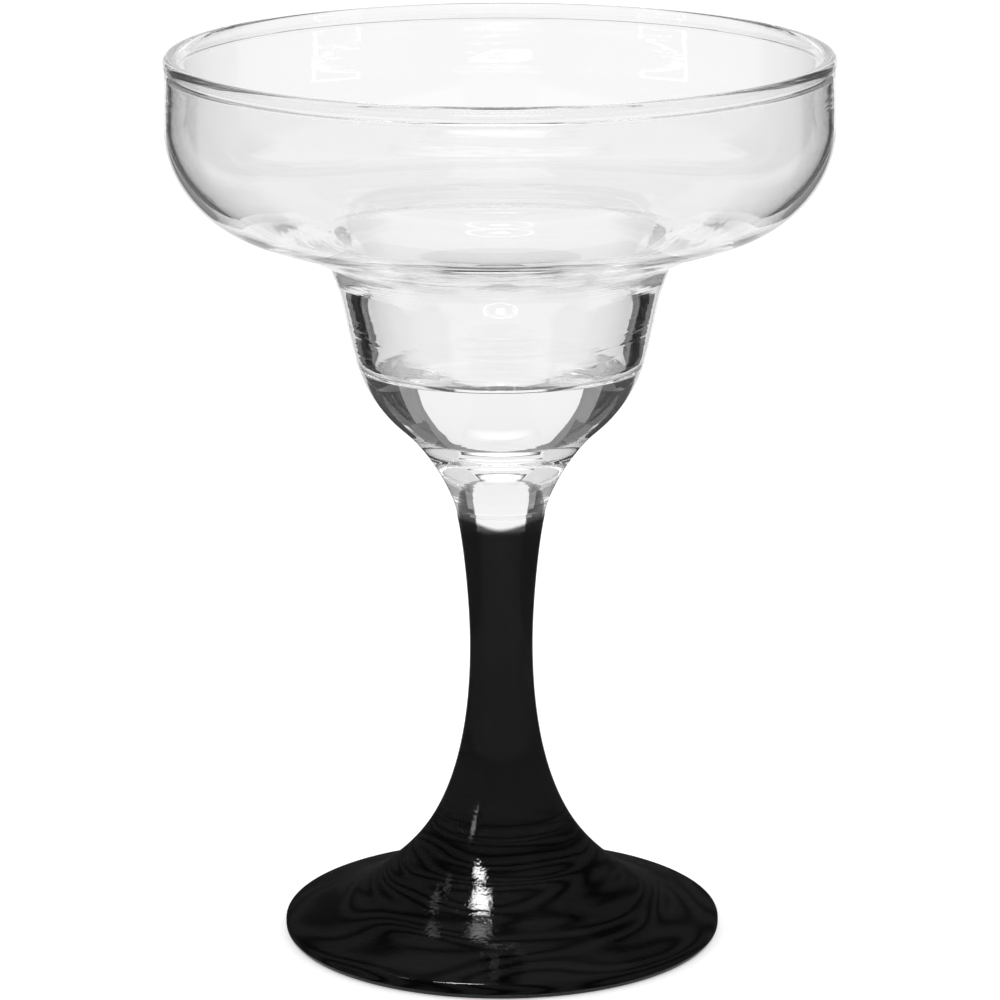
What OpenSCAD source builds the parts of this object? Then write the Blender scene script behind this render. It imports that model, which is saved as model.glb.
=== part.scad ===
// Margarita glass: a clear bowl fused to a solid stem and a pressed foot, with a black coat
// sprayed over the stem and foot. All is turned about the Z axis, and stands on Z = 0.
// Lengths are in millimetres. Drops are measured down from the rim, heights up from the table.
// A fall is the slope of the glass's skin there, in degrees under a line drawn in to the axis.

/* [Rim] */
// Height of the whole glass
glass_h = 150; // [140:1:165]
// Outer diameter over the rim's bead
rim_d = 109.4; // [108:0.2:111]
// Thickness of the rounded bead
bead_d = 2.3; // [2:0.1:2.8]
// How far the bead stands out past the wall
bead_step = 0.2; // [0.1:0.05:0.3]

/* [Dish] */
// Widest diameter of the dish
dish_d = 109.5; // [108:0.5:112]
// Drop to the widest place
dish_drop = 11.5; // [9:0.5:14]
// Glass thickness of the dish's wall
dish_wall = 1.2; // [1:0.1:1.5]
// Diameter where the wall turns in to the dish's floor
turn_d = 98.2; // [95:0.2:101]
// Drop to that turn
turn_drop = 24.6; // [23:0.2:26]
// Fall of the skin at the turn
turn_fall = 43; // [38:1:48]
// Glass thickness at the turn
turn_wall = 1.5; // [1.2:0.1:2]
// Diameter where the dish's floor reaches the shoulder of the well
shoulder_d = 61.2; // [59.5:0.1:63]
// Drop to the shoulder
shoulder_drop = 33.3; // [32:0.1:33.8]
// Fall of the skin at the shoulder
shoulder_fall = 27; // [22:1:32]
// Glass thickness at the shoulder
shoulder_wall = 2.4; // [1.8:0.1:3]

/* [Well] */
// Diameter at the top of the well, under the shoulder
well_d = 56.8; // [55:0.2:58.5]
// Drop to the top of the well
well_drop = 34.4; // [34:0.1:36]
// Fall of the skin at the top of the well
well_fall = 64.5; // [58:0.5:72]
// Diameter of the well half way down its side
side_d = 50.4; // [48:0.2:52]
// Drop to that place
side_drop = 45.5; // [43:0.5:48]
// Fall of the skin there
side_fall = 78.4; // [74:0.2:84]
// Glass thickness of the well's side
side_wall = 3.1; // [2.5:0.1:3.7]
// Inner diameter of the well where its side ends and the corner of its floor begins
corner_d = 42.6; // [41.8:0.2:43]
// Drop to that place
corner_drop = 49.2; // [48.4:0.2:49.8]
// Fall of the skin there
corner_fall = 78; // [74:1:82]
// Inner diameter where that corner ends and the floor begins
floor_d = 37.2; // [35:0.2:38]
// Drop to that place
floor_drop = 51.8; // [51.2:0.1:52.6]
// Rise of the floor there, in towards the middle, in degrees
floor_rise = 4; // [0:1:6]
// Drop to the middle of the floor
middle_drop = 50.7; // [50.4:0.1:51.6]
// Diameter where the well rounds in to the neck
base_d = 32.8; // [30:0.2:35]
// Drop to that place
base_drop = 62.6; // [61:0.2:64]
// Fall of the skin there
base_fall = 40.5; // [36:0.5:46]

/* [Neck and stem] */
// Height of the bowl with its neck, from the weld to the rim
bowl_h = 76.8; // [75:0.2:79]
// Diameter of the neck at its weld to the stem
neck_d = 14.8; // [13.5:0.1:16]
// Fall of the skin at that weld
neck_fall = 76; // [72:1:80]
// Smallest diameter of the stem
waist_d = 10.3; // [9.5:0.1:12]
// Drop from that weld to the smallest place
waist_drop = 23.2; // [18:0.2:28]
// Diameter of the stem at its weld to the foot
boss_d = 23; // [21:0.2:25]
// Height of that weld
boss_z = 19.5; // [18:0.5:21]
// Fall of the skin at that weld, past upright where the stem widens
boss_fall = 120; // [114:1:126]

/* [Foot] */
// Diameter of the foot
foot_d = 73.2; // [70:0.2:77]
// Height of the foot's edge
edge_h = 2.7; // [2.4:0.1:3.4]
// Radius of the edge's upper corner
edge_top_r = 0.8; // [0.5:0.1:1]
// Radius of the edge's lower corner
edge_low_r = 1.3; // [0.8:0.1:1.4]
// Width of the foot's straight slope, from the end of the flare to the edge
slope_w = 6.6; // [5.6:0.2:8.6]
// Slope of the foot's top there, in degrees
foot_slope = 15; // [12:0.5:17]
// Width of the flat ring that the glass stands on
ring_w = 3.8; // [2.4:0.2:6.2]
// Height of the hollow under the foot
hollow_h = 1.8; // [1:0.1:2.5]
// Rise of the hollow at its edge, in degrees
hollow_rise = 9; // [6:1:12]

/* [Black coat] */
// Thickness of the black coat
coat_t = 0.12; // [0.08:0.01:0.2]
// How far the coat goes round the edge's lower corner, in degrees
coat_wrap = 50; // [30:5:60]

/* [Hidden] */
steps = 12;
facets = 120;
clear_glass = [0.86, 0.9, 0.92, 0.45];
black = [0.03, 0.03, 0.035];

// The handles of each curved stretch, as shares of the stretch's length: where it starts, where it ends
outside_pull_shares = [
    [0.35, 0.30],
    [0.45, 0.25],
    [0.37, 0.56],
    [0.35, 0.35],
    [0.36, 0.33],
    [0.31, 0.43],
    [0.35, 0.23]
];
inside_pull_shares = [
    [0.35, 0.30],
    [0.45, 0.25],
    [0.37, 0.50],
    [0.40, 0.50],
    [0.33, 0.33],
    [0.55, 0.55],
    [0.33, 0.50]
];
stem_pull_shares = [
    [0.20, 0.32],
    [0.43, 0.26]
];
flare_pull_shares = [
    [0.40, 0.19]
];
hollow_pull_shares = [
    [0.40, 0.50]
];

// A unit step along a skin with this fall, and the unit step out of the glass beside it
function along(fall) = [-cos(fall), -sin(fall)];
function out_of(fall) = [sin(fall), -cos(fall)];

// A place on a skin, as its radius, height and fall, and the same place moved off that skin
function place(d, z, fall) = [d / 2, z, fall];
function moved(p, by) = [p[0] + by * out_of(p[2])[0], p[1] + by * out_of(p[2])[1], p[2]];
function point(p) = [p[0], p[1]];

// The points of one curved stretch after its start
function stretch(a, b, pulls) =
    let (reach = norm(point(b) - point(a)))
    let (lead = point(a) + pulls[0] * reach * along(a[2]))
    let (tail = point(b) - pulls[1] * reach * along(b[2]))
    [for (i = [1 : steps])
        let (t = i / steps, u = 1 - t)
        u * u * u * point(a) + 3 * u * u * t * lead + 3 * u * t * t * tail + t * t * t * point(b)
    ];

// The points of a skin that runs through all these places
function skin(places, pulls) = [
    point(places[0]),
    for (i = [1 : len(places) - 1]) each stretch(places[i - 1], places[i], pulls[i - 1])
];

// The points of a round from one angle to another
function round_points(centre, r, from, to, n = steps) = [
    for (i = [0 : n])
        let (a = from + (to - from) * i / n)
        centre + r * [cos(a), sin(a)]
];
function reversed(v) = [for (i = [len(v) - 1 : -1 : 0]) v[i]];
function without_ends(v) = [for (i = [1 : len(v) - 2]) v[i]];

// Rim: the bead's round, and where the wall's two skins leave it
bead_r = bead_d / 2;
bead_centre = [rim_d / 2 - bead_r, glass_h - bead_r];
bead_out_angle = -acos(1 - bead_step / bead_r);
bead_in_angle = 360 - acos(1 - (bead_step + dish_wall) / bead_r);
bead = round_points(bead_centre, bead_r, bead_in_angle, bead_out_angle, 3 * steps);
rim_out = [bead[len(bead) - 1][0], bead[len(bead) - 1][1], 90];
rim_in = [bead[0][0], bead[0][1], 90];

// Bowl: the places that its two skins pass through
widest = place(dish_d, glass_h - dish_drop, 90);
turn = place(turn_d, glass_h - turn_drop, turn_fall);
shoulder = place(shoulder_d, glass_h - shoulder_drop, shoulder_fall);
well_top = place(well_d, glass_h - well_drop, well_fall);
well_side = place(side_d, glass_h - side_drop, side_fall);
well_base = place(base_d, glass_h - base_drop, base_fall);
weld_z = glass_h - bowl_h;
neck = place(neck_d, weld_z, neck_fall);
well_corner = place(corner_d, glass_h - corner_drop, corner_fall);
well_floor = place(floor_d, glass_h - floor_drop, -floor_rise);
well_middle = place(0, glass_h - middle_drop, 0);
bowl_outside = skin([rim_out, widest, turn, shoulder, well_top, well_side, well_base, neck],
    outside_pull_shares);
bowl_inside = skin([rim_in, moved(widest, -dish_wall), moved(turn, -turn_wall),
    moved(shoulder, -shoulder_wall), moved(well_side, -side_wall), well_corner, well_floor, well_middle],
    inside_pull_shares);

// Stem and foot: the places that their skins pass through
waist = place(waist_d, weld_z - waist_drop, 90);
boss = place(boss_d, boss_z, boss_fall);
edge_top_centre = [foot_d / 2 - edge_top_r, edge_h - edge_top_r];
edge_low_centre = [foot_d / 2 - edge_low_r, edge_low_r];
slope_end = edge_top_centre + edge_top_r * [sin(foot_slope), cos(foot_slope)];
flare_d = foot_d - 2 * slope_w;
flare = place(flare_d, slope_end[1] + (slope_end[0] - flare_d / 2) * tan(foot_slope), 180 - foot_slope);
ring_d = foot_d - 2 * (edge_low_r + ring_w);
ring = place(ring_d, 0, -hollow_rise);
hollow_top = place(0, hollow_h, 0);

// The skin of the stem, of the flare, and of the edge down to a given angle, all this far off the glass
function stem_skin(off) = skin([moved(neck, off), moved(waist, off), moved(boss, off)], stem_pull_shares);
function flare_skin(off) = skin([moved(boss, off), moved(flare, off)], flare_pull_shares);
function edge_skin(off, last) = concat(
    round_points(edge_top_centre, edge_top_r + off, 90 - foot_slope, 0),
    round_points(edge_low_centre, edge_low_r + off, 0, last)
);
function coat_skin(off) = concat(stem_skin(off), without_first(flare_skin(off)), edge_skin(off, -coat_wrap));
function without_first(v) = [for (i = [1 : len(v) - 1]) v[i]];

// Bowl: saucer dish, straight-walled well, solid base and neck, in one piece of blown glass
module bowl() {
    color(clear_glass)
        rotate_extrude($fn = facets)
            polygon(concat(bowl_outside, [[0, weld_z]], reversed(bowl_inside), without_ends(bead)));
}

// Stem: a solid waisted rod, flat on both ends where it is welded
module stem() {
    color(clear_glass)
        rotate_extrude($fn = facets)
            polygon(concat(stem_skin(0), [[0, boss_z], [0, weld_z]]));
}

// Foot: a pressed disc whose flare rises to the stem, hollow underneath inside a flat ring
module foot() {
    color(clear_glass)
        rotate_extrude($fn = facets)
            polygon(concat(
                flare_skin(0),
                edge_skin(0, -90),
                skin([ring, hollow_top], hollow_pull_shares),
                [[0, boss_z]]
            ));
}

// Black coat: one thin skin over the stem, the foot's top and its edge
module black_coat() {
    color(black)
        rotate_extrude($fn = facets)
            polygon(concat(coat_skin(coat_t), reversed(coat_skin(0))));
}

bowl();
stem();
foot();
black_coat();
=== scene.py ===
# %% [markdown]
# # A margarita glass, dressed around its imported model
# The glass is blown and pressed in three gathers: a bowl with a saucer dish over a small deep
# well, a solid waisted stem, and a foot. They are welded while hot, so light runs through the
# joints as if they weren't there. A thin black lacquer is sprayed over the stem and the foot,
# and fades out at the neck. Everything here is turned about the Z axis, in metres, and the
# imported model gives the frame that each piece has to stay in.

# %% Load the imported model
import math

import bmesh
import bpy
from mathutils import Matrix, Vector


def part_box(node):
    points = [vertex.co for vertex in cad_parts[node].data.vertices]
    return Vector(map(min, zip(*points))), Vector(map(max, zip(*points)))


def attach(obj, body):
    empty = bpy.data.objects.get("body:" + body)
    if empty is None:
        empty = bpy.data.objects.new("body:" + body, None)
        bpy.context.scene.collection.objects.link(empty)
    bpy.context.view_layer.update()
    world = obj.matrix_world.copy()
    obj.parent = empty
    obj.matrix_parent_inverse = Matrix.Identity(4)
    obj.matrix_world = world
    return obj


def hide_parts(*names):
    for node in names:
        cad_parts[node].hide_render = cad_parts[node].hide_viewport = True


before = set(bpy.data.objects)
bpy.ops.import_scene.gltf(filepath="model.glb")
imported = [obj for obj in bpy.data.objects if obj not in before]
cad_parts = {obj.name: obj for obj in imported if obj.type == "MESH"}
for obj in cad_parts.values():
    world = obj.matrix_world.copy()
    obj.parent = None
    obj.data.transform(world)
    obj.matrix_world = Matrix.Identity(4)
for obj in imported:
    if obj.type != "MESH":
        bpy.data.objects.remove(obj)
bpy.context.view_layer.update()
MM = 0.001
scene = bpy.context.scene
scene.view_settings.view_transform = "Standard"

# %% [markdown]
# The camera stands about 0.8 m in front of the glass and a little above its rim, and looks down
# at its middle through a long lens, so the rim shows as a narrow ellipse. It is made first,
# because the studio is later built to turn with it.

# %% Stand the camera
CAMERA_AT = (0.0, -0.749, 0.269)
CAMERA_PITCH = math.radians(-14.539)
CAMERA_YAW = math.radians(0.012)
CAMERA_ROLL = math.radians(-0.16)
LENS = 167.4
SENSOR = 36.0
NEAREST = 0.01
FARTHEST = 30.0
camera_data = bpy.data.cameras.new("camera")
camera_data.lens = LENS
camera_data.sensor_width = SENSOR
camera_data.clip_start = NEAREST
camera_data.clip_end = FARTHEST
camera = bpy.data.objects.new("camera", camera_data)
turn = Matrix.Rotation(CAMERA_YAW, 4, "Z") @ Matrix.Rotation(math.pi / 2 + CAMERA_PITCH, 4, "X")
camera.matrix_world = Matrix.Translation(CAMERA_AT) @ turn @ Matrix.Rotation(CAMERA_ROLL, 4, "Z")
scene.collection.objects.link(camera)
scene.camera = camera
print("camera at", CAMERA_AT, "with a", LENS, "mm lens")

# %% [markdown]
# Light that enters a rim or a shoulder of clear glass runs along inside the wall, as in a light
# pipe, and is turned back dozens of times before it comes out. With few bounces it would be
# dropped on the way and leave black patches, so the path of a ray may be long here.

# %% Let light run inside the walls
BOUNCES = 128
for limit in ("max_bounces", "glossy_bounces", "transmission_bounces", "transparent_max_bounces"):
    setattr(scene.cycles, limit, BOUNCES)
print("a ray of light may turn", BOUNCES, "times")

# %% [markdown]
# ## The outline
# A turned piece is known by half of its outline. Here each place on a skin of the glass is a
# radius, a height and a fall, which is the slope of the skin under a line drawn in to the axis.
# Between two places the skin is one cubic curve, whose handles point along the falls. That is
# how a glassmaker's mould drawing gives a profile, and it keeps every stretch smooth where it
# meets the next.

# %% Helpers for places on the outline
def along(fall):
    """A unit step down along a skin with this fall, in degrees, as radius and height."""
    turned = math.radians(fall)
    return (-math.cos(turned), -math.sin(turned))


def out_of(fall):
    """The unit step out of the glass beside such a skin."""
    turned = math.radians(fall)
    return (math.sin(turned), -math.cos(turned))


def place(diameter, z, fall):
    """A place on a skin, as its radius, height and fall."""
    return (diameter / 2, z, fall)


def moved(spot, by):
    """The same place, this far out of the skin."""
    step = out_of(spot[2])
    return (spot[0] + by * step[0], spot[1] + by * step[1], spot[2])


# %% Helpers for stretches of the outline
RING_STEP = 0.9 * MM
INSIDE_RING_STEP = 0.5 * MM
FEWEST_RINGS = 6


def stretch(a, b, pulls, ring_step=RING_STEP):
    """The points of one cubic curve after its start. The pulls are shares of its length."""
    reach = math.dist(a[:2], b[:2])
    lead = [a[i] + pulls[0] * reach * along(a[2])[i] for i in (0, 1)]
    tail = [b[i] - pulls[1] * reach * along(b[2])[i] for i in (0, 1)]
    count = max(FEWEST_RINGS, round(reach / ring_step))
    points = []
    for k in range(1, count + 1):
        t = k / count
        u = 1 - t
        weights = (u * u * u, 3 * u * u * t, 3 * u * t * t, t * t * t)
        points.append(tuple(
            sum(w * p[i] for w, p in zip(weights, (a, lead, tail, b))) for i in (0, 1)
        ))
    return points


def skin(places, pulls, ring_step=RING_STEP):
    """The points of a skin that runs through all these places."""
    points = [tuple(places[0][:2])]
    for a, b, pull in zip(places, places[1:], pulls):
        points += stretch(a, b, pull, ring_step)
    return points


def round_points(centre, radius, start, end, count):
    """The points of a round from one angle to another, in degrees."""
    turns = [math.radians(start + (end - start) * k / count) for k in range(count + 1)]
    return [(centre[0] + radius * math.cos(t), centre[1] + radius * math.sin(t)) for t in turns]


print("rings", RING_STEP / MM, "mm apart outside and", INSIDE_RING_STEP / MM, "mm inside")

# %% [markdown]
# ## Turning an outline into glass
# A main piece here follows a rule, a line turned about an axis, so Geometry Nodes make it. The
# outline is a bare line of points in the XZ plane. The tree lays a grid with one column for
# each point and one row for each step round, reads the outline's radius and height by the
# column's number, and turns them by the row's number. Merging closes the seam and the poles.

# %% The lathe, a Geometry Nodes tree
def make_lathe():
    tree = bpy.data.node_groups.new("lathe", "GeometryNodeTree")
    face = tree.interface
    face.new_socket("Outline", in_out="INPUT", socket_type="NodeSocketGeometry")
    face.new_socket("Steps Round", in_out="INPUT", socket_type="NodeSocketInt")
    face.new_socket("Weld Distance", in_out="INPUT", socket_type="NodeSocketFloat")
    face.new_socket("Sharp Angle", in_out="INPUT", socket_type="NodeSocketFloat")
    face.new_socket("Material", in_out="INPUT", socket_type="NodeSocketMaterial")
    face.new_socket("Turned", in_out="OUTPUT", socket_type="NodeSocketGeometry")

    def node(kind, **settings):
        made = tree.nodes.new(kind)
        for name, value in settings.items():
            setattr(made, name, value)
        return made

    def whole(operation, a, b):
        made = node("FunctionNodeIntegerMath", operation=operation)
        feed(a, made.inputs[0])
        feed(b, made.inputs[1])
        return made.outputs[0]

    def number(operation, a, b=0.0):
        made = node("ShaderNodeMath", operation=operation)
        feed(a, made.inputs[0])
        feed(b, made.inputs[1])
        return made.outputs[0]

    def feed(source, socket):
        if isinstance(source, (int, float)):
            socket.default_value = source
        else:
            tree.links.new(source, socket)

    given = node("NodeGroupInput").outputs
    size = node("GeometryNodeAttributeDomainSize", component="MESH")
    feed(given["Outline"], size.inputs["Geometry"])
    rows = whole("ADD", given["Steps Round"], 1)
    grid = node("GeometryNodeMeshGrid")
    feed(size.outputs["Point Count"], grid.inputs["Vertices X"])
    feed(rows, grid.inputs["Vertices Y"])

    index = node("GeometryNodeInputIndex").outputs[0]
    column = whole("DIVIDE_FLOOR", index, rows)
    row = whole("MODULO", index, rows)
    read = node("GeometryNodeSampleIndex", data_type="FLOAT_VECTOR", domain="POINT")
    feed(given["Outline"], read.inputs["Geometry"])
    feed(node("GeometryNodeInputPosition").outputs[0], read.inputs["Value"])
    feed(column, read.inputs["Index"])
    spot = node("ShaderNodeSeparateXYZ")
    feed(read.outputs["Value"], spot.inputs[0])

    share = number("DIVIDE", row, given["Steps Round"])
    angle = number("MULTIPLY", share, 2 * math.pi)
    turned = node("ShaderNodeCombineXYZ")
    feed(number("MULTIPLY", spot.outputs["X"], number("COSINE", angle)), turned.inputs["X"])
    feed(number("MULTIPLY", spot.outputs["X"], number("SINE", angle)), turned.inputs["Y"])
    feed(spot.outputs["Z"], turned.inputs["Z"])
    put = node("GeometryNodeSetPosition")
    feed(grid.outputs["Mesh"], put.inputs["Geometry"])
    feed(turned.outputs[0], put.inputs["Position"])

    merge = node("GeometryNodeMergeByDistance")
    feed(put.outputs[0], merge.inputs["Geometry"])
    feed(given["Weld Distance"], merge.inputs["Distance"])
    smooth = node("GeometryNodeSetShadeSmooth", domain="FACE")
    feed(merge.outputs[0], smooth.inputs["Geometry"])
    edges = node("GeometryNodeSetShadeSmooth", domain="EDGE")
    bend = node("GeometryNodeInputMeshEdgeAngle").outputs["Unsigned Angle"]
    feed(smooth.outputs[0], edges.inputs["Geometry"])
    feed(number("GREATER_THAN", bend, given["Sharp Angle"]), edges.inputs["Selection"])
    edges.inputs["Shade Smooth"].default_value = False
    real = node("GeometryNodeRealizeInstances")
    feed(edges.outputs[0], real.inputs["Geometry"])
    paint = node("GeometryNodeSetMaterial")
    feed(real.outputs[0], paint.inputs["Geometry"])
    feed(given["Material"], paint.inputs["Material"])
    feed(paint.outputs[0], node("NodeGroupOutput").inputs["Turned"])
    return tree


LATHE = make_lathe()
print("lathe tree with", len(LATHE.nodes), "nodes")

# %% [markdown]
# One function turns any outline, and gives back a plain mesh. It also measures the volume inside
# the skin: a negative one would mean that the faces look inwards, and then they are turned over.

# %% Turn an outline
STEPS_ROUND = 288
WELD_DISTANCE = 0.001 * MM
SHARP_ANGLE = math.radians(35)


def turn_piece(name, outline, material):
    line = bpy.data.meshes.new(name + "_outline")
    line.from_pydata([(r, 0.0, z) for r, z in outline], [], [])
    piece = bpy.data.objects.new(name, line)
    scene.collection.objects.link(piece)
    lathe = piece.modifiers.new("lathe", "NODES")
    lathe.node_group = LATHE
    values = {
        "Steps Round": STEPS_ROUND,
        "Weld Distance": WELD_DISTANCE,
        "Sharp Angle": SHARP_ANGLE,
        "Material": material,
    }
    for item in LATHE.interface.items_tree:
        if item.in_out == "INPUT" and item.name in values:
            lathe[item.identifier] = values[item.name]
    bpy.context.view_layer.update()
    seen = bpy.context.evaluated_depsgraph_get()
    mesh = bpy.data.meshes.new_from_object(piece.evaluated_get(seen), depsgraph=seen)
    piece.modifiers.remove(lathe)
    mesh.name = name
    piece.data = mesh
    bpy.data.meshes.remove(line)
    skin_mesh = bmesh.new()
    skin_mesh.from_mesh(mesh)
    volume = skin_mesh.calc_volume(signed=True)
    if volume < 0:
        bmesh.ops.reverse_faces(skin_mesh, faces=skin_mesh.faces)
        skin_mesh.to_mesh(mesh)
    open_edges = sum(not edge.is_manifold for edge in skin_mesh.edges)
    skin_mesh.free()
    print(name, "holds", round(abs(volume) / MM**3), "mm3 in", len(mesh.polygons), "faces,",
          open_edges, "open edges,", "turned over" if volume < 0 else "facing out")
    return piece


# %% [markdown]
# ## Finishes
# Three effects are shared by several materials, so each is a node group that puts out only a
# value. The first is the slow waviness of glass that cooled against air and iron: long in the
# round, short in height, because the piece spun while it was soft. The second is the fine lines
# that a tool leaves where it shaped a spinning piece, each a few millimetres long, and only near
# the height where it was held. Both give heights in metres, for a bump. The third is what
# handling leaves on a shiny skin: faint smears and specks, which only change how sharply it
# reflects.

# %% Helpers for node groups
def make_group(name, inputs, output):
    tree = bpy.data.node_groups.new(name, "ShaderNodeTree")
    for label, value in inputs:
        socket = tree.interface.new_socket(label, in_out="INPUT", socket_type="NodeSocketFloat")
        socket.default_value = value
    tree.interface.new_socket(output, in_out="OUTPUT", socket_type="NodeSocketFloat")
    return tree, tree.nodes.new("NodeGroupInput").outputs


def put_out(tree, value):
    """Closes a group with the one value that it puts out."""
    tree.links.new(value, tree.nodes.new("NodeGroupOutput").inputs[0])
    print("group", tree.name, "with", len(tree.nodes), "nodes")
    return tree


def math_node(tree, operation, a, b=0.0, clamp=False):
    made = tree.nodes.new("ShaderNodeMath")
    made.operation = operation
    made.use_clamp = clamp
    for source, socket in zip((a, b), made.inputs):
        if isinstance(source, (int, float)):
            socket.default_value = source
        else:
            tree.links.new(source, socket)
    return made.outputs[0]


def noise_node(tree, vector, scale, detail):
    made = tree.nodes.new("ShaderNodeTexNoise")
    made.inputs["Detail"].default_value = detail
    tree.links.new(vector, made.inputs["Vector"])
    if isinstance(scale, (int, float)):
        made.inputs["Scale"].default_value = scale
    else:
        tree.links.new(scale, made.inputs["Scale"])
    return made.outputs["Fac"]


# %% Helpers for where an effect shows
def object_place(tree):
    return tree.nodes.new("ShaderNodeTexCoord").outputs["Object"]


def split_up(tree, vector):
    split = tree.nodes.new("ShaderNodeSeparateXYZ")
    tree.links.new(vector, split.inputs[0])
    return split.outputs


def drawn_out(tree, vector, scale):
    """Scaled coordinates. A pattern is drawn out along each axis whose scale is small."""
    flat = tree.nodes.new("ShaderNodeMapping")
    flat.inputs["Scale"].default_value = scale
    tree.links.new(vector, flat.inputs["Vector"])
    return flat.outputs[0]


def above(tree, value, floor, gain):
    """How far a value stands over a floor, times a gain, kept from 0 to 1."""
    return math_node(tree, "MULTIPLY", math_node(tree, "SUBTRACT", value, floor), gain, clamp=True)


def near(tree, value, middle, spread):
    """1 where the value is at the middle, down to 0 at the spread on both sides of it."""
    away = math_node(tree, "ABSOLUTE", math_node(tree, "SUBTRACT", value, middle))
    return math_node(tree, "SUBTRACT", 1.0, math_node(tree, "DIVIDE", away, spread), clamp=True)


def ramp(tree, start_z, end_z, start=0.0, end=1.0):
    """A value that runs from start to end as the height runs from one to the other."""
    made = tree.nodes.new("ShaderNodeMapRange")
    for label, value in (("From Min", start_z), ("From Max", end_z), ("To Min", start), ("To Max", end)):
        made.inputs[label].default_value = value
    tree.links.new(split_up(tree, object_place(tree))["Z"], made.inputs["Value"])
    return made.outputs[0]


# %% Shared group: waves left by spinning
WAVE_DRAW = (0.16, 0.16, 1.0)
WAVE_INPUTS = [("Ring Scale", 260.0), ("Cloud Scale", 60.0), ("Cloud Share", 0.5), ("Depth", 0.004 * MM)]


def make_spun_waves():
    tree, given = make_group("spun_waves", WAVE_INPUTS, "Height")
    spot = object_place(tree)
    rings = noise_node(tree, drawn_out(tree, spot, WAVE_DRAW), given["Ring Scale"], detail=2.0)
    clouds = noise_node(tree, spot, given["Cloud Scale"], detail=1.0)
    both = math_node(tree, "ADD", rings, math_node(tree, "MULTIPLY", clouds, given["Cloud Share"]))
    return put_out(tree, math_node(tree, "MULTIPLY", both, given["Depth"]))


SPUN_WAVES = make_spun_waves()

# %% Shared group: lines left by a tool
LINE_DRAW = (0.05, 0.05, 1.0)
LINE_INPUTS = [("Line Scale", 2200.0), ("Middle", 0.0), ("Spread", 0.01), ("Depth", 0.002 * MM)]
PATCH_SHARE = 0.35
PATCH_FLOOR = 0.45
PATCH_GAIN = 6.0


def make_tool_lines():
    tree, given = make_group("tool_lines", LINE_INPUTS, "Height")
    spot = object_place(tree)
    drawn = drawn_out(tree, spot, LINE_DRAW)
    lines = noise_node(tree, drawn, given["Line Scale"], detail=1.0)
    patch_scale = math_node(tree, "MULTIPLY", given["Line Scale"], PATCH_SHARE)
    patches = above(tree, noise_node(tree, drawn, patch_scale, detail=0.0), PATCH_FLOOR, PATCH_GAIN)
    held = near(tree, split_up(tree, spot)["Z"], given["Middle"], given["Spread"])
    shown = math_node(tree, "MULTIPLY", math_node(tree, "MULTIPLY", lines, patches), held)
    return put_out(tree, math_node(tree, "MULTIPLY", shown, given["Depth"]))


TOOL_LINES = make_tool_lines()

# %% Shared group: marks of handling
MARK_INPUTS = [("Smear Scale", 45.0), ("Speck Scale", 900.0)]
SMEAR_FLOOR = 0.52
SMEAR_GAIN = 4.0
SMEAR_SHARE = 0.5
SPECK_FLOOR = 0.72
SPECK_GAIN = 12.0


def make_handling():
    tree, given = make_group("handling", MARK_INPUTS, "Marks")
    spot = object_place(tree)
    smears = noise_node(tree, spot, given["Smear Scale"], detail=4.0)
    specks = noise_node(tree, spot, given["Speck Scale"], detail=0.0)
    faint = math_node(tree, "MULTIPLY", above(tree, smears, SMEAR_FLOOR, SMEAR_GAIN), SMEAR_SHARE)
    sharp = above(tree, specks, SPECK_FLOOR, SPECK_GAIN)
    return put_out(tree, math_node(tree, "ADD", faint, sharp, clamp=True))


HANDLING = make_handling()

# %% [markdown]
# Clear soda-lime glass bends light by 1.52. It is a plain Principled shader that lets all light
# through, almost perfectly smooth. The spun waves and the tool lines move its normal a very
# little, and handling marks blur it a very little.

# %% Helpers for materials
def add_group(material, group, **values):
    made = material.node_tree.nodes.new("ShaderNodeGroup")
    made.node_tree = group
    for name, value in values.items():
        made.inputs[name.replace("_", " ")].default_value = value
    return made.outputs[0]


def new_material(name):
    material = bpy.data.materials.new(name)
    material.use_nodes = True
    return material, material.node_tree, material.node_tree.nodes["Principled BSDF"]


def bump_into(tree, shader, heights):
    """Adds heights in metres up, and lets them move the shader's normal."""
    total = heights[0]
    for height in heights[1:]:
        total = math_node(tree, "ADD", total, height)
    bump = tree.nodes.new("ShaderNodeBump")
    bump.inputs["Distance"].default_value = 1.0
    tree.links.new(total, bump.inputs["Height"])
    tree.links.new(bump.outputs[0], shader.inputs["Normal"])


# %% Clear glass
GLASS_BEND = 1.52
GLASS_TINT = (0.945, 0.945, 0.945, 1.0)
GLASS_MARK_BLUR = 0.02
BOWL_WAVES = {"Ring_Scale": 260.0, "Depth": 0.004 * MM}
STEM_WAVES = {"Ring_Scale": 320.0, "Depth": 0.003 * MM}
FOOT_WAVES = {"Ring_Scale": 240.0, "Depth": 0.004 * MM}
BOWL_LINES = [
    {"Middle": 145 * MM, "Spread": 6 * MM, "Depth": 0.012 * MM},
    {"Middle": 117 * MM, "Spread": 5 * MM, "Depth": 0.070 * MM},
    {"Middle": 103 * MM, "Spread": 8 * MM, "Depth": 0.030 * MM},
    {"Middle": 79 * MM, "Spread": 6 * MM, "Depth": 0.016 * MM},
]
STEM_LINES = [{"Middle": 72 * MM, "Spread": 4 * MM, "Depth": 0.001 * MM}]
FOOT_LINES = [{"Middle": 8 * MM, "Spread": 12 * MM, "Depth": 0.002 * MM}]
BOWL_SMEARS = 45.0
STEM_SMEARS = 60.0
FOOT_SMEARS = 50.0


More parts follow.
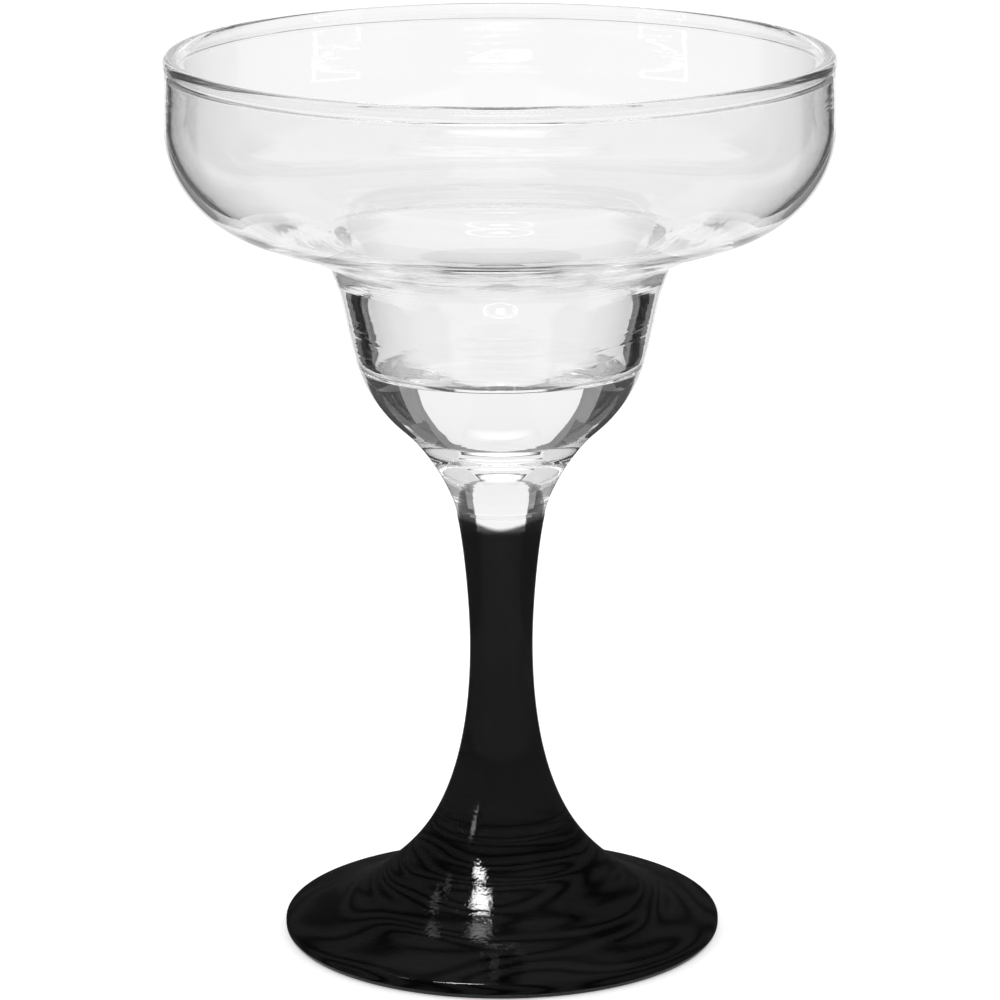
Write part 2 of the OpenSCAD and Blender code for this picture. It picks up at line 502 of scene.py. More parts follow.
def clear_glass(name, waves, lines, smear_scale):
    material, tree, shader = new_material(name)
    shader.inputs["Base Color"].default_value = GLASS_TINT
    shader.inputs["Transmission Weight"].default_value = 1.0
    shader.inputs["IOR"].default_value = GLASS_BEND
    heights = [add_group(material, SPUN_WAVES, **waves)]
    heights += [add_group(material, TOOL_LINES, **held) for held in lines]
    bump_into(tree, shader, heights)
    marks = add_group(material, HANDLING, Smear_Scale=smear_scale)
    tree.links.new(math_node(tree, "MULTIPLY", marks, GLASS_MARK_BLUR), shader.inputs["Roughness"])
    return material


BOWL_GLASS = clear_glass("bowl_clear", BOWL_WAVES, BOWL_LINES, BOWL_SMEARS)
STEM_GLASS = clear_glass("stem_clear", STEM_WAVES, STEM_LINES, STEM_SMEARS)
FOOT_GLASS = clear_glass("foot_clear", FOOT_WAVES, FOOT_LINES, FOOT_SMEARS)
print("glass finishes", BOWL_GLASS.name, STEM_GLASS.name, FOOT_GLASS.name)

# %% [markdown]
# The flat faces at the welds exist only so that each piece is closed. On the real glass there is
# nothing there to bend light, so they have a finish with no alpha at all. Two such faces in one
# plane would show as a thin dark line, so the stem runs a hair past both of its welds.

# %% Weld faces
WELD_LAP = 0.02 * MM
WELD_SHY = 0.002 * MM
WELD_REACH = 0.01 * MM
FLAT = 0.999


def make_weld():
    material, tree, shader = new_material("weld")
    shader.inputs["Alpha"].default_value = 0.0
    shader.inputs["Roughness"].default_value = 0.0
    return material


def lapped(spot, up):
    """The end of a skin carried on past its weld, up or down, and drawn in a hair."""
    step = along(spot[2])
    reach = up * WELD_LAP / abs(step[1])
    return (spot[0] - reach * step[0] - WELD_SHY, spot[1] - reach * step[1])


def open_welds(piece, heights):
    """Gives the weld finish to the flat faces at these heights."""
    piece.data.materials.append(WELD)
    count = 0
    for face in piece.data.polygons:
        at_weld = any(abs(face.center.z - z) < WELD_REACH for z in heights)
        if abs(face.normal.z) > FLAT and at_weld:
            face.material_index = 1
            count += 1
    print(piece.name, "has", count, "weld faces")


WELD = make_weld()
print("the stem laps its welds by", WELD_LAP / MM, "mm")

# %% [markdown]
# The black lacquer is thin and a little translucent: about a fifteenth of the light gets through
# each film on the stem, so the white behind it shows as a very dark grey. On the foot the film
# is thicker. There it has a fine peel like an orange's. Its colour also carries painted shade:
# darker swirls, and two thin dark rings round the flare, where light bent through the glass
# foot would draw them. At the neck the spray fades out over one and a half millimetres, and its
# edge dips a little in front and more behind.

# %% Group: painted shade in swirls
SHADE_SWIRL_DRAW = (0.35, 0.45, 4.0)
SHADE_SWIRL_INPUTS = [("Cloud Scale", 60.0), ("Rings", 13.0)]
SHADE_SWIRL_POWER = 2.0


# Painted shade: dark swirls that stand for the light bent through the glass foot, put into the lacquer's
# colour.
def make_painted_swirl_shade():
    tree, given = make_group("painted_swirl_shade", SHADE_SWIRL_INPUTS, "Share")
    drawn = drawn_out(tree, object_place(tree), SHADE_SWIRL_DRAW)
    clouds = noise_node(tree, drawn, given["Cloud Scale"], detail=1.0)
    turns = math_node(tree, "MULTIPLY", math_node(tree, "MULTIPLY", clouds, given["Rings"]), 2 * math.pi)
    wave = math_node(tree, "MULTIPLY", math_node(tree, "ADD", math_node(tree, "SINE", turns), 1.0), 0.5)
    return put_out(tree, math_node(tree, "POWER", wave, SHADE_SWIRL_POWER))


PAINTED_SWIRL_SHADE = make_painted_swirl_shade()

# %% How much the lacquer covers
LACQUER_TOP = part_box("black_coat")[1].z
FADE = 1.5 * MM
WANDER = 0.6 * MM
WANDER_SCALE = 160.0
NECK_R = 7.4 * MM
EDGE_DIPS = [
    {"way": -NECK_R, "depth": 1.7 * MM, "power": 8},
    {"way": NECK_R, "depth": 3.8 * MM, "power": 2},
]
STEM_ALPHA = 0.74
FOOT_ALPHA = 0.93
THIN_Z = 26 * MM
THICK_Z = 10 * MM


def depth_of_edge(tree):
    """How far a place lies under the upper edge of the lacquer, which wanders and dips."""
    spot = object_place(tree)
    split = split_up(tree, spot)
    down = math_node(tree, "SUBTRACT", LACQUER_TOP, split["Z"])
    wander = math_node(tree, "SUBTRACT", noise_node(tree, spot, WANDER_SCALE, detail=1.0), 0.5)
    down = math_node(tree, "SUBTRACT", down, math_node(tree, "MULTIPLY", wander, WANDER))
    for dip in EDGE_DIPS:
        ahead = math_node(tree, "DIVIDE", split["Y"], dip["way"], clamp=True)
        sunk = math_node(tree, "MULTIPLY", math_node(tree, "POWER", ahead, dip["power"]), dip["depth"])
        down = math_node(tree, "SUBTRACT", down, sunk)
    return down


def lacquer_film(tree):
    soft = tree.nodes.new("ShaderNodeMapRange")
    soft.interpolation_type = "SMOOTHERSTEP"
    fade = math_node(tree, "DIVIDE", depth_of_edge(tree), FADE, clamp=True)
    tree.links.new(fade, soft.inputs["Value"])
    thicker = ramp(tree, THIN_Z, THICK_Z, STEM_ALPHA, FOOT_ALPHA)
    return math_node(tree, "MULTIPLY", soft.outputs[0], thicker)


# %% Black lacquer
LACQUER_WAVES = {"Ring_Scale": 420.0, "Depth": 0.004 * MM}
LACQUER_LINES = {"Line_Scale": 1500.0, "Middle": 8 * MM, "Spread": 16 * MM, "Depth": 0.016 * MM}
LACQUER_PEEL = {"Ring_Scale": 1300.0, "Cloud_Scale": 1500.0, "Cloud_Share": 1.5, "Depth": 0.014 * MM}
PEEL_TOP_Z = 28 * MM
PEEL_FULL_Z = 23 * MM
LACQUER_SMEARS = 70.0
LACQUER_BLUR = 0.03
LACQUER_MARK_BLUR = 0.12
# Heights where the painted shade of the swirls starts and is full.
SHADE_SWIRL_TOP_Z = 24 * MM
SHADE_SWIRL_FULL_Z = 18 * MM
# Heights and half widths of two thin dark rings of painted shade round the flare, where bent light draws
# dark lines.
SHADE_RINGS_Z = (21.2 * MM, 19.4 * MM)
SHADE_RING_HALF = 0.3 * MM
LACQUER_GREY = (0.011, 0.011, 0.0115, 1.0)
LACQUER_SHADE_BLACK = (0.001, 0.001, 0.001, 1.0)


def lacquer_skin(material, tree, shader):
    waves = add_group(material, SPUN_WAVES, **LACQUER_WAVES)
    lines = add_group(material, TOOL_LINES, **LACQUER_LINES)
    peel = add_group(material, SPUN_WAVES, **LACQUER_PEEL)
    peel = math_node(tree, "MULTIPLY", peel, ramp(tree, PEEL_TOP_Z, PEEL_FULL_Z))
    bump_into(tree, shader, [waves, lines, peel])
    marks = add_group(material, HANDLING, Smear_Scale=LACQUER_SMEARS)
    blur = math_node(tree, "ADD", math_node(tree, "MULTIPLY", marks, LACQUER_MARK_BLUR), LACQUER_BLUR)
    tree.links.new(blur, shader.inputs["Roughness"])


def make_lacquer():
    material, tree, shader = new_material("black_lacquer")
    lacquer_skin(material, tree, shader)
    film = lacquer_film(tree)
    # The swirls and the two rings are painted shade: they darken the colour, and the rings also thicken
    # the film.
    painted_shade = math_node(tree, "MULTIPLY", add_group(material, PAINTED_SWIRL_SHADE), ramp(tree, SHADE_SWIRL_TOP_Z, SHADE_SWIRL_FULL_Z))
    # Each ring of painted shade turns the colour black and makes the film opaque there.
    for shade_ring_z in SHADE_RINGS_Z:
        shade_ring = near(tree, split_up(tree, object_place(tree))["Z"], shade_ring_z, SHADE_RING_HALF)
        painted_shade = math_node(tree, "MAXIMUM", painted_shade, shade_ring)
        film = math_node(tree, "MAXIMUM", film, shade_ring)
    tint = tree.nodes.new("ShaderNodeMix")
    tint.data_type = "RGBA"
    tint.inputs["A"].default_value = LACQUER_GREY
    tint.inputs["B"].default_value = LACQUER_SHADE_BLACK
    tree.links.new(painted_shade, tint.inputs["Factor"])
    tree.links.new(tint.outputs["Result"], shader.inputs["Base Color"])
    tree.links.new(film, shader.inputs["Alpha"])
    return material


BLACK_LACQUER = make_lacquer()
print("lacquer fades over", FADE / MM, "mm")

# %% [markdown]
# ## Bowl
# One gather of glass: a rounded rim, a wide dish with a thin wall, a shoulder, and a small deep
# well over a solid base that narrows to the neck. The drops are measured down from the rim.

# %% Bowl sizes
RIM_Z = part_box("bowl")[1].z
WELD_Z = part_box("bowl")[0].z
RIM_D = 109.4 * MM
BEAD_R = 1.15 * MM
BEAD_STEP = 0.2 * MM
BEAD_TALLER = 0.5 * MM
BEAD_COUNT = 44
DISH_WALL = 1.2 * MM
TURN_WALL = 1.5 * MM
SHOULDER_WALL = 2.4 * MM
SIDE_WALL = 3.1 * MM
NECK = place(14.8 * MM, WELD_Z, 76)


def below_rim(diameter, drop, fall):
    return place(diameter * MM, RIM_Z - drop * MM, fall)


WIDEST = below_rim(109.5, 11.5, 90)
TURN = below_rim(98.2, 24.6, 43)
SHOULDER = below_rim(61.2, 33.3, 27)
WELL_TOP = below_rim(56.8, 34.4, 64.5)
WELL_SIDE = below_rim(50.4, 45.5, 78.4)
WELL_BASE = below_rim(32.8, 62.6, 40.5)
WELL_CORNER = below_rim(42.6, 49.2, 78)
WELL_FLOOR = below_rim(37.2, 51.8, -4)
WELL_MIDDLE = below_rim(0, 50.7, 0)
OUTSIDE_PULLS = [
    (0.35, 0.30), (0.45, 0.25), (0.37, 0.56), (0.35, 0.35), (0.36, 0.33), (0.31, 0.43), (0.35, 0.23)]
INSIDE_PULLS = [
    (0.35, 0.30), (0.45, 0.25), (0.37, 0.50), (0.40, 0.50), (0.33, 0.33), (0.55, 0.55), (0.33, 0.50)]
print("bowl from", round(WELD_Z / MM, 2), "to", round(RIM_Z / MM, 2), "mm high")

# %% [markdown]
# The rim is a bead that a flame rounded, a little taller than it is thick. Where its round meets
# the wall, a small soft round replaces the corner. The inside of the bowl has finer rings than
# the outside, because the small well shows every facet of its floor's corner.

# %% Outline of the bowl
RIM_TRIM = 4
SOFT_COUNT = 8


def soft_corner(start, corner, end):
    """The points between two ends of a small round that fills the corner between them."""
    points = []
    for k in range(1, SOFT_COUNT):
        t = k / SOFT_COUNT
        weights = ((1 - t) ** 2, 2 * t * (1 - t), t * t)
        points.append(tuple(
            sum(w * p[i] for w, p in zip(weights, (start, corner, end))) for i in (0, 1)
        ))
    return points


def rim_bead():
    """The bead's round, from the inside of the wall over the rim to its outside."""
    centre = (RIM_D / 2 - BEAD_R, RIM_Z - BEAD_R)
    out_angle = -math.degrees(math.acos(1 - BEAD_STEP / BEAD_R))
    in_angle = 360 - math.degrees(math.acos(1 - (BEAD_STEP + DISH_WALL) / BEAD_R))
    bead = round_points(centre, BEAD_R, in_angle, out_angle, BEAD_COUNT)
    return [(r, z - BEAD_TALLER if z < centre[1] else z) for r, z in bead]


def bowl_outside(start):
    places = [(*start, 90), WIDEST, TURN, SHOULDER, WELL_TOP, WELL_SIDE, WELL_BASE, NECK]
    return skin(places, OUTSIDE_PULLS)


def bowl_inside(start):
    places = [
        (*start, 90), moved(WIDEST, -DISH_WALL), moved(TURN, -TURN_WALL), moved(SHOULDER, -SHOULDER_WALL),
        moved(WELL_SIDE, -SIDE_WALL), WELL_CORNER, WELL_FLOOR, WELL_MIDDLE]
    return skin(places, INSIDE_PULLS, INSIDE_RING_STEP)


def bowl_outline():
    bead = rim_bead()
    outside = bowl_outside(bead[-1])
    inside = bowl_inside(bead[0])
    weld = [(NECK[0] * share, WELD_Z) for share in (0.5, 0.0)]
    rim = bead[RIM_TRIM:-RIM_TRIM]
    into_rim = soft_corner(inside[1], bead[0], rim[0])
    out_of_rim = soft_corner(rim[-1], bead[-1], outside[1])
    return inside[:0:-1] + into_rim + rim + out_of_rim + outside[1:] + weld


# %% Turn the bowl
bowl = turn_piece("bowl_glass", bowl_outline(), BOWL_GLASS)
open_welds(bowl, [WELD_Z])
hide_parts("bowl")
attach(bowl, "root")

# %% [markdown]
# ## Stem and foot
# The stem is a solid rod with a waist. The foot's flare rises to meet it, runs out into a
# straight slope and ends in a rounded edge. Underneath, the foot is hollow inside a flat ring.

# %% Stem and foot sizes
BOSS_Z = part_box("stem")[0].z
WAIST = place(10.3 * MM, WELD_Z - 23.2 * MM, 90)
BOSS = place(23 * MM, BOSS_Z, 120)
FOOT_R = 36.6 * MM
EDGE_H = 2.7 * MM
EDGE_TOP_R = 0.8 * MM
EDGE_LOW_R = 1.3 * MM
SLOPE = 15
SLOPE_W = 6.6 * MM
RING_W = 3.8 * MM
HOLLOW_H = 1.8 * MM
HOLLOW_RISE = 9
EDGE_TOP = (FOOT_R - EDGE_TOP_R, EDGE_H - EDGE_TOP_R)
EDGE_LOW = (FOOT_R - EDGE_LOW_R, EDGE_LOW_R)
SLOPE_END = round_points(EDGE_TOP, EDGE_TOP_R, 90 - SLOPE, 0, 1)[0]
FLARE_R = FOOT_R - SLOPE_W
FLARE_Z = SLOPE_END[1] + (SLOPE_END[0] - FLARE_R) * math.tan(math.radians(SLOPE))
FLARE = (FLARE_R, FLARE_Z, 180 - SLOPE)
RING = (FOOT_R - EDGE_LOW_R - RING_W, 0.0, -HOLLOW_RISE)
HOLLOW_TOP = (0.0, HOLLOW_H, 0)
STEM_PULLS = [(0.20, 0.32), (0.43, 0.26)]
FLARE_PULLS = [(0.40, 0.19)]
HOLLOW_PULLS = [(0.40, 0.50)]
EDGE_TOP_COUNT = 10
EDGE_LOW_COUNT = 14
print("stem from", round(BOSS_Z / MM, 2), "to", round(WELD_Z / MM, 2), "mm high")

# %% Skins of the stem, the flare and the foot's edge
def stem_skin(off):
    """The stem's side, moved off the glass by this much."""
    return skin([moved(NECK, off), moved(WAIST, off), moved(BOSS, off)], STEM_PULLS)


def flare_skin(off):
    return skin([moved(BOSS, off), moved(FLARE, off)], FLARE_PULLS)


def edge_skin(off, last):
    upper = round_points(EDGE_TOP, EDGE_TOP_R + off, 90 - SLOPE, 0, EDGE_TOP_COUNT)
    lower = round_points(EDGE_LOW, EDGE_LOW_R + off, 0, last, EDGE_LOW_COUNT)
    return upper + lower


# %% Turn the stem and the foot
def stem_outline():
    high, low = lapped(NECK, 1), lapped(BOSS, -1)
    top = [(high[0] * share, high[1]) for share in (0.0, 0.5, 1.0)]
    foot_end = [(low[0] * share, low[1]) for share in (1.0, 0.5, 0.0)]
    return top + stem_skin(0) + foot_end


def foot_outline():
    top = [(BOSS[0] * share, BOSS_Z) for share in (0.0, 0.5)]
    return top + flare_skin(0) + edge_skin(0, -90) + skin([RING, HOLLOW_TOP], HOLLOW_PULLS)


stem = turn_piece("stem_glass", stem_outline(), STEM_GLASS)
open_welds(stem, [WELD_Z + WELD_LAP, BOSS_Z - WELD_LAP])
foot = turn_piece("foot_glass", foot_outline(), FOOT_GLASS)
open_welds(foot, [BOSS_Z])
for piece, node, slot in ((stem, "stem", "stem_glass"), (foot, "foot", "foot_glass")):
    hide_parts(node)
    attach(piece, "root")

# %% [markdown]
# ## Lacquer
# The film is a closed skin with an outer and an inner side. Its inner side is sunk a hair into
# the glass, so that light inside the glass meets the film before it meets the glass's surface.

# %% Spray the lacquer
COAT_T = 0.12 * MM
COAT_SINK = 0.03 * MM
COAT_WRAP = 50


def coat_skin(off):
    return stem_skin(off) + flare_skin(off)[1:] + edge_skin(off, -COAT_WRAP)


def coat_outline():
    outer = coat_skin(COAT_T)
    return outer + coat_skin(-COAT_SINK)[::-1] + outer[:1]


coat = turn_piece("black_lacquer", coat_outline(), BLACK_LACQUER)
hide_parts("black_coat")
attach(coat, "root")

# %% [markdown]
# ## Studio
# Clear glass has no colour of its own: it only shows what stands around it. The glass is lit
# the way product photographers light it, on a white table in front of a white backdrop. The
# backdrop is pure white to the camera, in reflections and through the glass, and a little
# duller as a light, so that the table keeps the glass's soft shadow.

# %% World
WHITE = (1.0, 1.0, 1.0, 1.0)
WORLD_SEEN = 1.0
WORLD_LIGHT = 0.85


def make_world():
    world = bpy.data.worlds.new("studio")
    scene.world = world
    world.use_nodes = True
    tree = world.node_tree
    light = tree.nodes["Background"]
    path = tree.nodes.new("ShaderNodeLightPath")
    shown = math_node(tree, "MAXIMUM", path.outputs["Is Camera Ray"], path.outputs["Is Glossy Ray"])
    shown = math_node(tree, "MAXIMUM", shown, path.outputs["Is Transmission Ray"])
    more = math_node(tree, "MULTIPLY", shown, WORLD_SEEN - WORLD_LIGHT)
    light.inputs["Color"].default_value = WHITE
    tree.links.new(math_node(tree, "ADD", more, WORLD_LIGHT), light.inputs["Strength"])
    print("backdrop", WORLD_SEEN, "where it is seen and", WORLD_LIGHT, "as a light")


make_world()

# %% Floor
FLOOR_SIZE = 12.0
FLOOR_PAINT = (0.9, 0.9, 0.9, 1.0)
FLOOR_GLOW = 0.45
FLOOR_GLOW_IN_GLASS = 0.14


def floor_material():
    """Pale paint with a little glow of its own, and nothing at all from below."""
    material = bpy.data.materials.new("white_floor")
    material.use_nodes = True
    tree = material.node_tree
    tree.nodes.clear()
    path = tree.nodes.new("ShaderNodeLightPath")
    in_glass = math_node(tree, "ADD", path.outputs["Is Glossy Ray"], path.outputs["Is Transmission Ray"])
    in_glass = math_node(tree, "MULTIPLY", in_glass, FLOOR_GLOW_IN_GLASS)
    direct = math_node(tree, "MULTIPLY", path.outputs["Is Camera Ray"], FLOOR_GLOW)
    paint = tree.nodes.new("ShaderNodeBsdfDiffuse")
    paint.inputs["Color"].default_value = FLOOR_PAINT
    shine = tree.nodes.new("ShaderNodeEmission")
    tree.links.new(math_node(tree, "ADD", direct, in_glass, clamp=True), shine.inputs["Strength"])
    both = tree.nodes.new("ShaderNodeAddShader")
    tree.links.new(paint.outputs[0], both.inputs[0])
    tree.links.new(shine.outputs[0], both.inputs[1])
    clear = tree.nodes.new("ShaderNodeBsdfTransparent")
    side = tree.nodes.new("ShaderNodeNewGeometry")
    pick = tree.nodes.new("ShaderNodeMixShader")
    tree.links.new(side.outputs["Backfacing"], pick.inputs[0])
    tree.links.new(both.outputs[0], pick.inputs[1])
    tree.links.new(clear.outputs[0], pick.inputs[2])
    out = tree.nodes.new("ShaderNodeOutputMaterial")
    tree.links.new(pick.outputs[0], out.inputs["Surface"])
    return material


def make_floor():
    half = FLOOR_SIZE / 2
    corners = [(-half, -half, 0), (half, -half, 0), (half, half, 0), (-half, half, 0)]
    mesh = bpy.data.meshes.new("floor")
    mesh.from_pydata(corners, [], [(0, 1, 2, 3)])
    mesh.materials.append(floor_material())
    floor = bpy.data.objects.new("floor", mesh)
    scene.collection.objects.link(floor)
    print("floor", FLOOR_SIZE, "m wide")


make_floor()

# %% [markdown]
# What draws the lines in clear glass is card. The camera doesn't see the cards themselves, and
# they cast no shadow. Each one glows evenly at its own grey, so it looks the same from all
# sides. The whole rig keeps the camera's direction, as it does when a glass is turned on a
# turntable: X is to the right of the picture, Y away from the camera and Z up.

# %% Turntable that keeps the studio in front of the camera
turntable = bpy.data.objects.new("turntable", None)
scene.collection.objects.link(turntable)
follow = turntable.constraints.new("COPY_ROTATION")
follow.target = camera
follow.use_x = False
follow.use_y = False


def grey(brightness):
    """A card's finish, named by its brightness in hundredths."""
    material = bpy.data.materials.new("card_%02d" % round(100 * brightness))
    material.use_nodes = True
    tree = material.node_tree
    tree.nodes.clear()
    shine = tree.nodes.new("ShaderNodeEmission")
    shine.inputs["Color"].default_value = WHITE
    shine.inputs["Strength"].default_value = brightness
    out = tree.nodes.new("ShaderNodeOutputMaterial")
    tree.links.new(shine.outputs[0], out.inputs["Surface"])
    return material


def put_card(name, corners, material):
    mesh = bpy.data.meshes.new(name)
    mesh.from_pydata(corners, [], [tuple(range(len(corners)))])
    mesh.materials.append(material)
    card = bpy.data.objects.new(name, mesh)
    card.parent = turntable
    card.visible_camera = False
    card.visible_diffuse = False
    card.visible_shadow = False
    card.visible_volume_scatter = False
    scene.collection.objects.link(card)
    return card


def put_reflected(name, corners, material):
    """A card that is seen only in the glass's outer skin, as a reflection."""
    put_card(name, corners, material).visible_transmission = False


def put_through(name, corners, material):
    """A card that is seen only through the glass."""
    put_card(name, corners, material).visible_glossy = False


# %% Helpers for the corners of cards
def upright(x, front, back, low, high):
    """A card in a side wall."""
    return [(x, front, low), (x, back, low), (x, back, high), (x, front, high)]


def facing(y, left, right, low, high):
    """A card that faces the camera, or that the camera looks past."""
    return [(left, y, low), (right, y, low), (right, y, high), (left, y, high)]


def lying(z, left, right, front, back):
    """A card on the table, or overhead."""
    return [(left, front, z), (right, front, z), (right, back, z), (left, back, z)]


def mirrored(corners):
    return [(-x, y, z) for x, y, z in corners]


def put_pair(name, corners, material):
    put_card(name + "_right", corners, material)
    put_card(name + "_left", mirrored(corners), material)


# %% [markdown]
# Black card lies on the table at both sides of the glass. Black card also stands low behind, at
# both sides, and gives the dark wedges at the well's base. The side walls are light further up
# and in front, and the backdrop is framed by grey.

# %% Cards round the white table
CARD_WIDE = 2.0
CARD_TALL = 2.0
FRONT_Y = -1.2
SIDE_X = 0.30
SIDE_TURN_Y = 0.15
SIDE_LOW_Z = 0.40
SIDE_HIGH_Z = 0.33
SIDE_END_Y = 0.45
SIDE_END_Z = 0.20
POST_Y = 0.32
BACK_Y = 0.60
TOP_Y = 0.44
TOP_Z = 0.90
TABLE_Z = 0.002
TABLE_FRONT_Z = 0.003
TABLE_FRONT_Y = (-0.9, -0.16)
TABLE_OUTLINE = [
    (0.155, -0.08), (0.15, 0.05), (0.125, 0.14), (0.125, 0.30), (0.17, 0.38),
    (0.32, 0.80), (0.33, 1.0), (1.5, 1.0), (1.5, -0.08)]
WINDOW_OUTLINE = [
    (0.28, 0.0), (0.28, 0.30), (0.22, 0.56), (0.0, 0.62), (0.0, TOP_Z), (SIDE_X, TOP_Z), (SIDE_X, 0.0)]

put_pair("table", [(a, b, TABLE_Z) for a, b in TABLE_OUTLINE], grey(0.02))
put_pair("side_front", upright(SIDE_X, FRONT_Y, SIDE_TURN_Y, 0, SIDE_HIGH_Z), grey(0.40))
put_pair("side_upper", upright(SIDE_X, FRONT_Y, SIDE_TURN_Y, SIDE_HIGH_Z, TOP_Z), grey(0.85))
put_pair("side_back", upright(SIDE_X, SIDE_TURN_Y, SIDE_END_Y, 0, SIDE_LOW_Z), grey(0.06))
put_pair("side_end", upright(SIDE_X, SIDE_END_Y, BACK_Y, SIDE_END_Z, SIDE_LOW_Z), grey(0.30))
put_pair("side_end_low", upright(SIDE_X, SIDE_END_Y, BACK_Y, 0, SIDE_END_Z), grey(0.06))
put_pair("side_post", upright(SIDE_X, POST_Y, BACK_Y, SIDE_LOW_Z, TOP_Z), grey(0.15))
put_pair("window", [(a, BACK_Y, b) for a, b in WINDOW_OUTLINE], grey(0.28))
put_card("top", lying(TOP_Z, -SIDE_X, SIDE_X, TOP_Y, BACK_Y), grey(0.28))
put_card("front", facing(FRONT_Y, -CARD_WIDE, CARD_WIDE, 0, CARD_TALL), grey(0.55))
put_card("table_front", lying(TABLE_FRONT_Z, -SIDE_X, SIDE_X, *TABLE_FRONT_Y), grey(0.30))
print("cards round a table", 2 * SIDE_X, "m wide, with the backdrop's frame at", BACK_Y, "m")

# %% [markdown]
# The foot and the stem need a darker place than the bowl. A low box of dark card stands close
# round them, with a hole in its roof for the neck. It is hidden from everything but reflections.

# %% Dark box round the foot
BOX = 0.045
BOX_TOP = LACQUER_TOP + 1.3 * MM
BOX_FLOOR = 0.001
BOX_HOLE = 0.0078
BOX_CARD = grey(0.03)
BOX_ROOF_CARD = grey(0.08)

put_reflected("box_floor", lying(BOX_FLOOR, -BOX, BOX, -BOX, BOX), BOX_CARD)
for sign, label in ((-1, "near"), (1, "far")):
    put_reflected("box_wall_" + label, facing(sign * BOX, -BOX, BOX, BOX_FLOOR, BOX_TOP), BOX_CARD)
    put_reflected("box_side_" + label, upright(sign * BOX, -BOX, BOX, BOX_FLOOR, BOX_TOP), BOX_CARD)
    roof_edges = sorted((sign * BOX_HOLE, sign * BOX))
    put_reflected("box_roof_" + label, lying(BOX_TOP, *roof_edges, -BOX, BOX), BOX_ROOF_CARD)
    put_reflected("box_bridge_" + label, lying(BOX_TOP, -BOX_HOLE, BOX_HOLE, *roof_edges), BOX_ROOF_CARD)
print("dark box", round(BOX_TOP / MM, 1), "mm high round the foot")

# %% [markdown]
# The highlights are bright cards. Some are seen only in reflections and some only through the
# glass, so that each draws one kind of glint: softboxes over the dish, window frames at both
# sides with a baffle before each, slats low in front, and rings of light on the table just
# before the glass.

# %% Helpers for soft lights
def soft_light(brightness, axes, middle, half):
    """A card's finish that is brightest in the middle and falls to nothing at its edges."""
    material = grey(brightness)
    tree = material.node_tree
    split = split_up(tree, object_place(tree))
    share = brightness
    for axis, centre, reach in zip(axes, middle, half):
        away = math_node(tree, "DIVIDE", math_node(tree, "SUBTRACT", split[axis], centre), reach)
        left = math_node(tree, "SUBTRACT", 1.0, math_node(tree, "MULTIPLY", away, away), clamp=True)
        share = math_node(tree, "MULTIPLY", left, share)
    tree.links.new(share, tree.nodes["Emission"].inputs["Strength"])
    return material


def soft_corners(shape, at, middle, half):
    """The corners of a card from its middle and the half of each side."""
    spans = [centre + side * reach for centre, reach in zip(middle, half) for side in (-1, 1)]
    return shape(at, *spans)


# %% Soft lights over the dish
SOFTBOX_Z = 0.85
SOFTBOX_BRIGHTNESS = 4.0
SOFTBOXES = [
    {"name": "softbox", "middle": (0.0, -0.30), "half": (0.26, 0.16)},
    {"name": "softbox_over", "middle": (0.0, 0.08), "half": (0.28, 0.04)},
]

for box in SOFTBOXES:
    finish = soft_light(SOFTBOX_BRIGHTNESS, "XY", box["middle"], box["half"])
    put_card(box["name"], soft_corners(lying, SOFTBOX_Z, box["middle"], box["half"]), finish)
print(len(SOFTBOXES), "soft lights over the dish")

# %% Lights beside and before the bowl
BRIGHT_CARD = grey(6.0)
BAFFLE = {"x": 0.07, "front": -0.09, "back": -0.035, "low": 0.03, "high": 0.14}
SIDE_WINDOW_X = 0.295
SIDE_WINDOW = {"front": -0.20, "back": -0.07, "low": 0.038, "high": 0.092, "wide": 0.004}
SLAT_Z = 0.004
SLAT_DEPTH = 0.014
SLATS = [(-0.47, 0.10), (-0.54, 0.16), (-0.62, 0.07), (-0.70, 0.12)]


def frame_strips(front, back, low, high, wide):
    """The four edges of a window in a side wall, as spans in Y and Z."""
    return [
        (front, back, high - wide, high), (front, back, low, low + wide),
        (front, front + wide, low, high), (back - wide, back, low, high)]


put_pair("baffle", upright(*BAFFLE.values()), grey(0.40))
for strip, spans in enumerate(frame_strips(*SIDE_WINDOW.values())):
    for sign in (-1, 1):
        put_through("side_window_%d" % strip, upright(sign * SIDE_WINDOW_X, *spans), BRIGHT_CARD)
for slat, (front, half) in enumerate(SLATS):
    put_through("slat_%d" % slat, lying(SLAT_Z, -half, half, front, front + SLAT_DEPTH), BRIGHT_CARD)
print(len(SLATS), "slats and two side windows round the bowl")

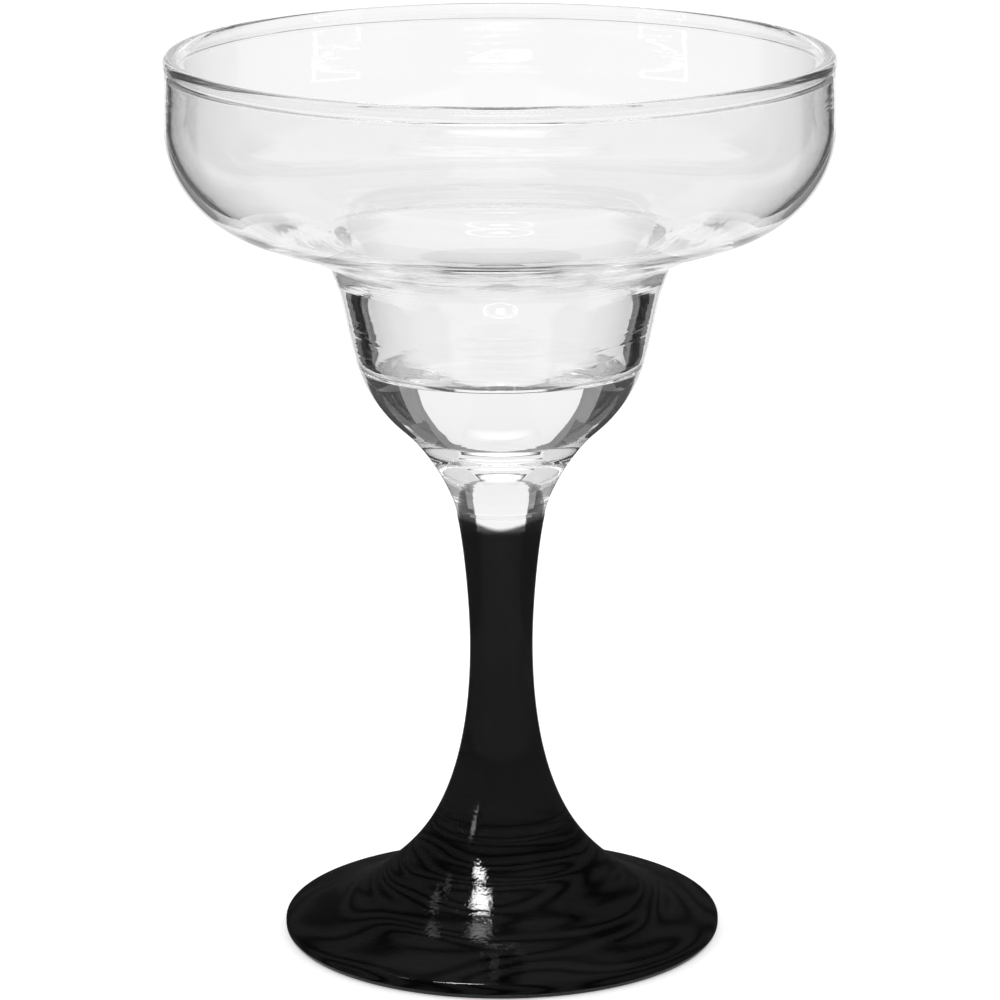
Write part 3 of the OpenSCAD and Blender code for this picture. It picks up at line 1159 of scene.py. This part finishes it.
# %% Rings of light on the table
RING_Z = 0.004
RING_Y = -0.115
RING_COUNT = 24
RING_WIDER = 1.7
RINGS = {"ring_small": (0.0005, 0.0045), "ring_wide": (0.014, 0.0155)}


def ring_spot(radius, turned):
    return (RING_WIDER * radius * math.cos(turned), RING_Y + radius * math.sin(turned), RING_Z)


for name, (inner, outer) in RINGS.items():
    for k in range(RING_COUNT):
        a, b = (2 * math.pi * (k + end) / RING_COUNT for end in (0, 1))
        corners = [ring_spot(r, t) for r, t in ((inner, a), (outer, a), (outer, b), (inner, b))]
        put_card("%s_%d" % (name, k), corners, BRIGHT_CARD)
print(len(RINGS), "rings of light before the glass")

# %% [markdown]
# The lacquer on the foot shows soft glints: a round one on the flare, a smaller one over it, a
# faint one under it, a faint flame where the flare meets the stem, and faint streaks to the
# left. They are soft lights just inside the dark box, at its roof and at its left wall.

# %% Soft lights round the foot
GLINT_GAP = 0.0002
ROOF_GLINTS = [
    {"name": "glint_round", "middle": (-0.0175, -0.0285), "half": (0.0100, 0.0060), "brightness": 34.0},
    {"name": "glint_star", "middle": (-0.0265, -0.0394), "half": (0.0100, 0.0045), "brightness": 34.0},
    {"name": "glint_low", "middle": (-0.0130, -0.0155), "half": (0.0075, 0.0065), "brightness": 3.5},
    {"name": "streak_roof", "middle": (-0.0380, 0.0010), "half": (0.0065, 0.0025), "brightness": 1.4},
]
WALL_GLINTS = [
    {"name": "glint_flame", "middle": (-0.0385, 0.0500), "half": (0.0060, 0.0055), "brightness": 5.0},
    {"name": "streak_wall", "middle": (-0.0057, 0.0635), "half": (0.0025, 0.0105), "brightness": 1.4},
    {"name": "streak_side", "middle": (-0.0140, 0.0640), "half": (0.0020, 0.0090), "brightness": 1.0},
]


def put_glint(glint, axes, shape, at):
    finish = soft_light(glint["brightness"], axes, glint["middle"], glint["half"])
    put_reflected(glint["name"], soft_corners(shape, at, glint["middle"], glint["half"]), finish)


for glint in ROOF_GLINTS:
    put_glint(glint, "XY", lying, BOX_TOP - GLINT_GAP)
for glint in WALL_GLINTS:
    put_glint(glint, "YZ", upright, -BOX + GLINT_GAP)
print(len(ROOF_GLINTS + WALL_GLINTS), "soft lights round the foot")
